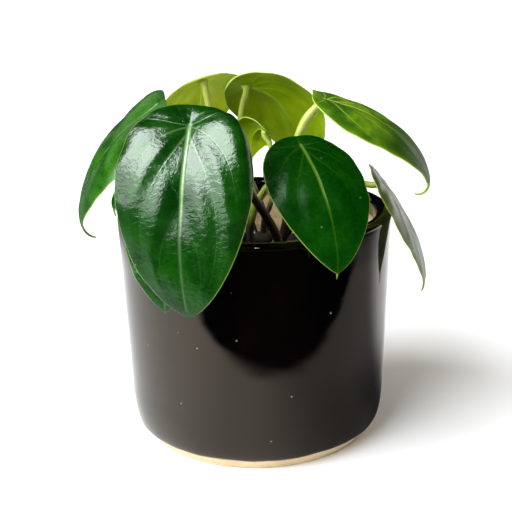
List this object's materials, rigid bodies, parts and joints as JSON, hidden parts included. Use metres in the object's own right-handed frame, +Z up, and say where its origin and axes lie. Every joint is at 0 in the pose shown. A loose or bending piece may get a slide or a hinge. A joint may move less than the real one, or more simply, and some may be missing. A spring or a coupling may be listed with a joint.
{
  "type": "potted philodendron",
  "caption": "Potted foliage plant with thick drooping teardrop leaves on long stalks, in a round glazed ceramic pot with an unglazed foot ring.",
  "frame": {"origin": "centre of the pot's flat base, on the surface the pot stands on", "axes": "+Z up along the pot's axis; -Y is the front, where the largest leaf hangs over the rim; +X is to the right seen from the front"},
  "size_m": [0.1553, 0.1465, 0.1592],
  "materials": {
    "pot": "gloss",
    "soil": "matte",
    "crown": "matte",
    "stalk": "satin",
    "leaf_dark": "gloss",
    "leaf_light": "satin"
  },
  "bodies": {
    "root": {"pot": "pot", "potting_soil": "soil", "plant_crown": "crown", "leaf_front_left": "leaf_dark", "leaf_front_right": "leaf_dark", "leaf_right": "leaf_dark", "leaf_far_left": "leaf_dark", "leaf_lower_left": "leaf_dark", "leaf_side_left": "leaf_dark", "leaf_upper_right": "leaf_light", "leaf_back_centre": "leaf_light", "leaf_back_left": "leaf_light", "leaf_young": "leaf_light", "stalk_front_left": "stalk", "stalk_front_right": "stalk", "stalk_right": "stalk", "stalk_far_left": "stalk", "stalk_lower_left": "stalk", "stalk_side_left": "stalk", "stalk_upper_right": "stalk", "stalk_back_centre": "stalk", "stalk_back_left": "stalk", "stalk_young": "stalk"}
  },
  "joints": []
}
